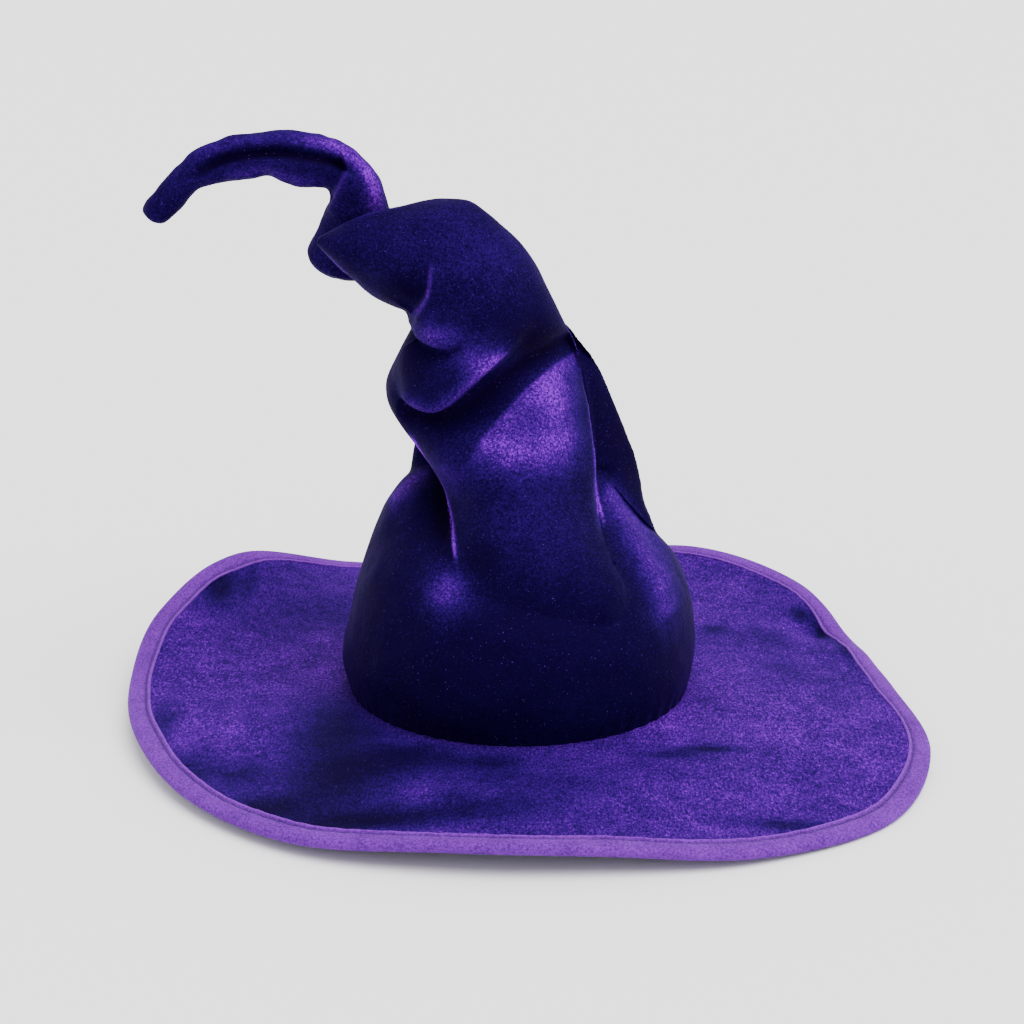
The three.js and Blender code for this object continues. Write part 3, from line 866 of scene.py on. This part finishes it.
# The crisp folds, where the cloth turns under itself: the path of each fold's edge, heading
# so that the part on top is on its left, how far that part stands up and over what reach,
# and how deep and wide the hollow beside it is
panel_edge = [(-34.5, 111), (-36, 120), (-38, 128), (-42, 137), (-49, 147)]
right_fold = [
    (24, 222), (29, 211), (33, 199), (36.5, 183), (39, 167), (41, 150), (41, 136), (42.5, 124),
    (46, 113), (52, 102), (61, 90),
]
roll_edge = [(-5, 212), (-15, 204), (-25, 195), (-34, 187), (-43, 181), (-53, 181.5), (-62, 185)]
lip_edge = [(-29, 216), (-34, 213.5), (-40, 213), (-47, 214), (-53, 216), (-59, 220)]
arc_edge = [(-45, 256), (-46, 248), (-47, 241), (-50, 234), (-56, 226)]
folds = [
    (panel_edge[::-1], 2.0, 6, 6, 9, (4, 14)),
    (right_fold[::-1], 1.2, 5, 0, 4, (28, 6)),
    (roll_edge[::-1], 3.0, 8, 4, 7, (4, 22)),
    (lip_edge[::-1], 2.5, 7, 4, 7, (3, 8)),
    (arc_edge, 2.5, 8, 4, 9, (8, 3)),
]


def refine(made, paths, reach, front=True):
    """Halves the faces along the folds, so that they can be turned crisply."""
    points, normals = points_of(made), normals_of(made)
    near = np.zeros(len(points), bool)
    for path in paths:
        signed, along, run = beside(path, points)
        near |= (np.abs(signed) < reach) & (normals[:, 1] * (1 if front else -1) < 0.3)
    work = bmesh.new()
    work.from_mesh(made.data)
    edges = [e for e in work.edges if near[e.verts[0].index] and near[e.verts[1].index]]
    bmesh.ops.subdivide_edges(work, edges=edges, cuts=1, use_grid_fill=True)
    bmesh.ops.triangulate(work, faces=[f for f in work.faces if len(f.verts) > 4])
    work.to_mesh(made.data)
    work.free()


def fold(made, path, stand, reach, hollow, width, fade, turn=0.9):
    """A crisp fold: the cloth on the left of its edge stands up, and turns down steeply."""
    crease(made, path, -stand, reach, turn, fade)
    if hollow:
        crease(made, path, hollow, turn, width, fade)


refine(crown, [row[0] for row in folds], 4)
back_seam = [(4, 14), (3, 50), (-2, 90), (-6, 130), (-12, 170), (-18, 205), (-24, 240), (-34, 282)]
refine(crown, [back_seam], 3, front=False)
crease(crown, back_seam, 1.1, 1.1, 1.1, (0, 8), front=False)
for path, stand, reach, hollow, width, fade in folds:
    fold(crown, path, stand, reach, hollow, width, fade)
shoulder_fold = [(62, 88), (56, 96), (51, 103), (46, 113), (43, 124), (42, 137)]
crease(crown, shoulder_fold, 4, 2.5, 9, (26, 6))
# The right fold runs out softly on the shoulder
points = points_of(crown)
beside_fold = smoothstep(9, 3, np.abs(beside(right_fold, points)[0]))
relax(crown, 14, 0.6, beside_fold * smoothstep(134, 112, points[:, 2]))

# Small unevenness of the stuffing and the cloth
points, normals = points_of(crown), normals_of(crown)
uneven = bumps(points, 30, 1) * 1.6 + bumps(points, 12, 2) * 0.5
around = np.arctan2(points[:, 1], points[:, 0])
foot = smoothstep(30, 16, points[:, 2])
uneven = uneven * (1 - foot) + foot * 0.35 * np.sin(64 * around + 2 * np.sin(5 * around))
points += normals * uneven[:, None]
place_points(crown, points)

# The cloth is cut off where it is sewn to the brim, just under the top velvet's face
SEAM_Z = 14.6
work = bmesh.new()
work.from_mesh(crown.data)
bmesh.ops.bisect_plane(
    work,
    geom=work.verts[:] + work.edges[:] + work.faces[:],
    plane_co=(0, 0, SEAM_Z * MM),
    plane_no=(0, 0, 1),
    clear_inner=True,
)
work.to_mesh(crown.data)
work.free()
crown.data.polygons.foreach_set("use_smooth", [True] * len(crown.data.polygons))

crown_velvet = velvet("crown_velvet", (0.05, 0.22, 0.13), (760, 760, 760), (330, 900, 700))
crown.data.materials.append(crown_velvet)
keep_rest_place(crown)
paint_pile_and_light(
    crown,
    0.22,
    [
        # painted highlights on the front panel under the waist and on the roll over it, with
        # painted shade in the pocket under the lip and beside the roll's right end
        ((0, -40, 161), (20, 30, 12), 0.6),
        ((20, -28, 183), (14, 25, 12), 0.5),
        ((26, -40, 162), (14, 30, 14), 0.42),
        ((4, -60, 124), (34, 40, 26), 0.13),
        ((-40, -45, 146), (12, 30, 12), 0.24),
        ((-22, -35, 208), (15, 25, 8), 0.42),
        ((-43, -32, 221), (11, 20, 5), 0.42),
        ((-54, -30, 206), (8, 25, 9), -0.12),
        ((10, -34, 216), (14, 24, 12), -0.24),
        # a painted highlight on the bump of the bulb, with painted shade beside it and over its
        # foot
        ((-39, -85, 94), (14, 26, 11), 0.62),
        ((-20, -76, 108), (12, 22, 9), -0.16),
        ((4, -84, 84), (30, 26, 14), -0.05),
        ((0, -90, 40), (100, 70, 34), -0.06),
        # the crook a little lighter, painted shade in the dimple in its front, and the panel
        # behind it darker
        ((-30, -20, 262), (66, 60, 30), 0.13),
        ((-58, -25, 243), (9, 25, 8), -0.2),
        ((66, 26, 150), (30, 40, 60), -0.1),
        # painted highlights on the swells of its back and sides
        ((26, 70, 112), (26, 36, 14), 0.26),
        ((-44, 60, 150), (14, 36, 22), 0.24),
        ((0, 40, 206), (24, 30, 9), 0.24),
        ((-76, 66, 74), (20, 36, 22), 0.2),
        ((70, 66, 62), (22, 40, 14), 0.2),
        ((-8, 40, 250), (22, 30, 14), 0.16),
    ],
    [
        # Along the folds: painted shade in the tuck and beside the panel's edge, thin painted
        # highlights along the edges of the folds and the crook, and broad painted highlights on
        # the right shoulder and across the top of the front panel
        (tuck, 7, 4.5, -0.16),
        ([(-22, 162), (-8, 178), (6, 190), (20, 199), (34, 202)], 1.0, 12, 0.34),
        (panel_edge[::-1], 0.5, 9, -0.4),
        ([(-58, 162), *panel_edge[::-1], (-33.5, 105)], 1.7, 0.9, 0.9),
        (right_fold[:9], 0.8, 1.3, 0.58),
        (roll_edge[::-1], 5, 0.8, 0.42),
        (lip_edge[::-1], 4, 0.8, 0.2),
        ([(-105, 259), (-97, 253), (-88, 244)], 1.4, 1.4, 0.4),
        ([(-88, 244), (-70, 229), (-59, 225)], 3, 3, 0.14),
        ([(-105, 267), (-85, 276), (-62, 282)], 1.2, 1.2, 0.2),
        (arc_edge, 1.4, 0.9, 0.42),
        ([(46, 128), (57, 115), (67, 101), (75, 86), (79, 68)], 10, 8, 0.4),
        ([(-74, 119), (-65, 128), (-56, 134), (-46, 137)], 4, 6, 0.5),
    ],
)
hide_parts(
    "lower_crown_velvet", "lower_crown_wadding", "upper_crown_velvet", "upper_crown_wadding"
)
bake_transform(crown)


# ---------- tail and tip ----------
# The last length of the cone. It comes up behind the crook and curls over to the left, and
# the wire in it has gathered the cloth of its underside into puckers.

tail_rows = [
    (-101, 238, -92, 236, 23, 3, 4, 1, 1),
    (-110, 244, -84, 237, 24, 11, 12, 1, 1),
    (-114, 251, -76, 243, 25, 15, 15, 1, 1),
    (-111, 259, -70, 254, 25, 17, 16, 1, 1),
    (-106, 267, -67, 266, 23, 17, 16, 1, 1),
    (-102, 277, -69, 279, 18, 15.5, 15, 1, 1),
    (-100, 283, -73, 291, 14, 14, 14, 1, 1),
    (-100, 287, -79, 301, 10, 13, 13, 1, 1),
    (-102, 289, -88, 310, 7, 12.5, 13, 1, 1),
    (-106, 290, -101, 316, 4, 12.5, 13, 1, 1),
    (-112, 290, -114, 318.5, 2, 12.5, 13, 1, 1),
    (-120, 292, -124, 319.5, 1, 12, 12, 1, 1),
    (-129, 296, -133, 319, -1, 11, 11.5, 1, 1),
    (-139, 295, -143, 317.5, -3, 11, 11.5, 1, 1),
    (-149, 294, -154, 315.5, -4, 10.5, 11, 1, 1),
    (-158, 292.5, -165, 311, -5, 10, 10.5, 1, 1),
    (-165, 290, -174, 304.5, -6, 9.3, 9.5, 1, 1),
    (-170, 286, -181, 297.5, -6.5, 8.6, 9, 1, 1),
    (-176, 280, -187.5, 290.5, -7, 8.4, 8.6, 1, 1),
    (-182, 274.5, -193, 285, -8, 8, 8, 1, 1),
    (-186, 272, -195.5, 280, -8, 6, 6, 1, 1),
    (-189.5, 273, -194, 276.5, -8, 2, 2, 1, 1),
]
tail = fused("tail_velvet_cloth", [lobe(tail_rows, 8)], 1.0)
relax(tail, 2, 0.5)
# The lengthwise tuck, with the lower part's upper edge turned crisply over it, the puckers
# of the lower part, and the bend, where the upright length laps over the curled one
tail_tuck = [
    (-91, 299), (-99, 303), (-112, 306), (-126, 307.5), (-140, 307), (-153, 304), (-166, 298),
]
bend_edge = [(-103, 276), (-100, 281), (-96, 288), (-92.5, 294), (-90.5, 300), (-92, 307)]
refine(tail, [tail_tuck, bend_edge], 3)
fold(tail, tail_tuck, 1.0, 4, 6, 5, (0, 20), turn=1.0)
fold(tail, bend_edge[::-1], 2.2, 6, 5, 6, (3, 3), turn=0.8)
PUCKER_TOP = 301
# Each pucker's x, how far down it runs, and its depth
puckers = [
    (-104, 12, 1.6), (-111, 14, 1.0), (-119, 14, 1.2), (-130, 10, 2.2), (-141, 9, 1.0),
    (-152, 9, 1.4),
]
for x, height, depth in puckers:
    line = [(x + 1, PUCKER_TOP), (x, PUCKER_TOP - height / 2), (x + 1.5, PUCKER_TOP - height)]
    crease(tail, line, depth, 2, 2, (2, 0))
relax(tail, 1, 0.3)
points, normals = points_of(tail), normals_of(tail)
uneven = bumps(points, 15, 4) * 0.9 + bumps(points, 7, 6) * 0.6
place_points(tail, points + normals * uneven[:, None])
tail.data.polygons.foreach_set("use_smooth", [True] * len(tail.data.polygons))
tail.data.materials.append(crown_velvet)
keep_rest_place(tail)
# The tail's stored value: painted highlights along its right side and the ridges of its upper and
# lower parts, painted shade in its tuck, and a little darker at its end
paint_pile_and_light(
    tail,
    0.34,
    [
        ((-76, 4, 286), (6, 20, 16), 0.3),
        ((-185, -6, 283), (14, 20, 10), -0.1),
    ],
    [
        (tail_tuck, 1.5, 5, -0.3),
        ([(-72, 280), (-75, 291), (-82, 302), (-94, 311), (-112, 316)], 4, 4, 0.4),
        ([(-112, 316), (-134, 316), (-154, 313), (-168, 306)], 4, 4, 0.14),
        ([(-104, 294), (-118, 295), (-132, 300), (-150, 297)], 3, 3, 0.14),
        (bend_edge[::-1], 3, 0.8, 0.2),
    ],
)
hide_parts("tail_velvet", "tail_wadding", "tip_velvet", "tip_wadding")
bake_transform(tail)


# ---------- crown: stiffener ----------
# A band of white buckram inside the crown seam, which keeps the bulb's foot round.

buckram, tree, shader, node = new_material("buckram")
place = node("ShaderNodeTexCoord").outputs["Object"]
weave = node("ShaderNodeTexNoise", Vector=place, Scale=800.0, Detail=3.0, Roughness=0.7)
two_tone(tree, shader, node, weave.outputs["Fac"], (0.3, 0.3, 0.28), (0.5, 0.5, 0.47))
shader.inputs["Roughness"].default_value = 0.9


def turned_rings(profile):
    """Rings round the hat's axis, at each radius and height in mm."""
    rings = []
    for radius, height in profile:
        x, y = radius * np.cos(turn_angles), radius * np.sin(turn_angles)
        rings.append(np.stack([x, y, np.full(TURNS, float(height))], axis=1))
    return rings


band_profile = [(92.1, 16), (92.5, 16), (93.9, 30), (93.9, 42), (93.5, 42), (93.5, 30)]
points, faces = joined_rings(turned_rings(band_profile), closed_profile=True)
stiffener = mesh_object("crown_stiffener", points, faces, buckram)
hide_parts("crown_stiffener_band")
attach(stiffener, "hat_base")


# ---------- crown: lining ----------
# A dome of dark purple satin in eight gores, sewn in at the head opening.

lining_satin, tree, shader, node = new_material("lining_satin")
place = node("ShaderNodeTexCoord").outputs["Object"]
weave = node("ShaderNodeTexNoise", Vector=place, Scale=1400.0, Detail=2.0, Roughness=0.7)
sag = node("ShaderNodeTexNoise", Vector=place, Scale=30.0, Detail=3.0, Roughness=0.5)
two_tone(tree, shader, node, weave.outputs["Fac"], (0.012, 0.004, 0.03), (0.045, 0.018, 0.1))
soft = node("ShaderNodeBump", Height=sag.outputs["Fac"], Strength=0.5, Distance=0.004)
tree.links.new(soft.outputs["Normal"], shader.inputs["Normal"])
shader.inputs["Roughness"].default_value = 0.38
dome_profile = [
    (91.95, 15), (92.1, 36), (88, 53), (80, 68), (67, 81), (48, 92), (26, 98), (1, 100),
]
GORES = 8
SEAM_PINCH = 0.016  # how far the seams between the gores draw it in, as a share of its radius
rings = turned_rings(spline(dome_profile, 6, closed=False))
gore = np.abs(np.sin(GORES / 2 * turn_angles)) ** 0.5
for ring in rings:
    pinch = 1 + SEAM_PINCH * (gore - 1) * smoothstep(15, 50, ring[:, 2])
    ring[:, :2] *= pinch[:, None]
points, faces = joined_rings(rings, closed_profile=False)
faces = [face[::-1] for face in faces]
faces.append(tuple(range(len(points) - TURNS, len(points))))
lining = mesh_object("crown_lining_dome", points, faces, lining_satin)
thick = lining.modifiers.new("cloth", "SOLIDIFY")
thick.thickness = 0.0006
thick.offset = 1.0
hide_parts("crown_lining")
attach(lining, "hat_base")


# ---------- head opening: sweatband ----------
# A soft black cotton band inside the opening, folded at its lower edge. The three lengths of
# the armature wire, inside the crown, the tail and the tip, are of the same steel as the
# brim's wire. All four keep the frame's own shapes.

band_cotton, tree, shader, node = new_material("band_cotton")
place = node("ShaderNodeTexCoord").outputs["Object"]
weave = node("ShaderNodeTexNoise", Vector=place, Scale=1100.0, Detail=3.0, Roughness=0.8)
two_tone(tree, shader, node, weave.outputs["Fac"], (0.008, 0.006, 0.014), (0.035, 0.028, 0.05))
nap = node("ShaderNodeBump", Height=weave.outputs["Fac"], Strength=0.4, Distance=0.0004)
tree.links.new(nap.outputs["Normal"], shader.inputs["Normal"])
shader.inputs["Roughness"].default_value = 0.85
finishes = {
    "sweatband": band_cotton,
    "upper_crown_wire": wire_steel,
    "tail_wire": wire_steel,
    "tip_wire": wire_steel,
}
for node_name, finish in finishes.items():
    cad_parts[node_name].data.materials.clear()
    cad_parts[node_name].data.materials.append(finish)
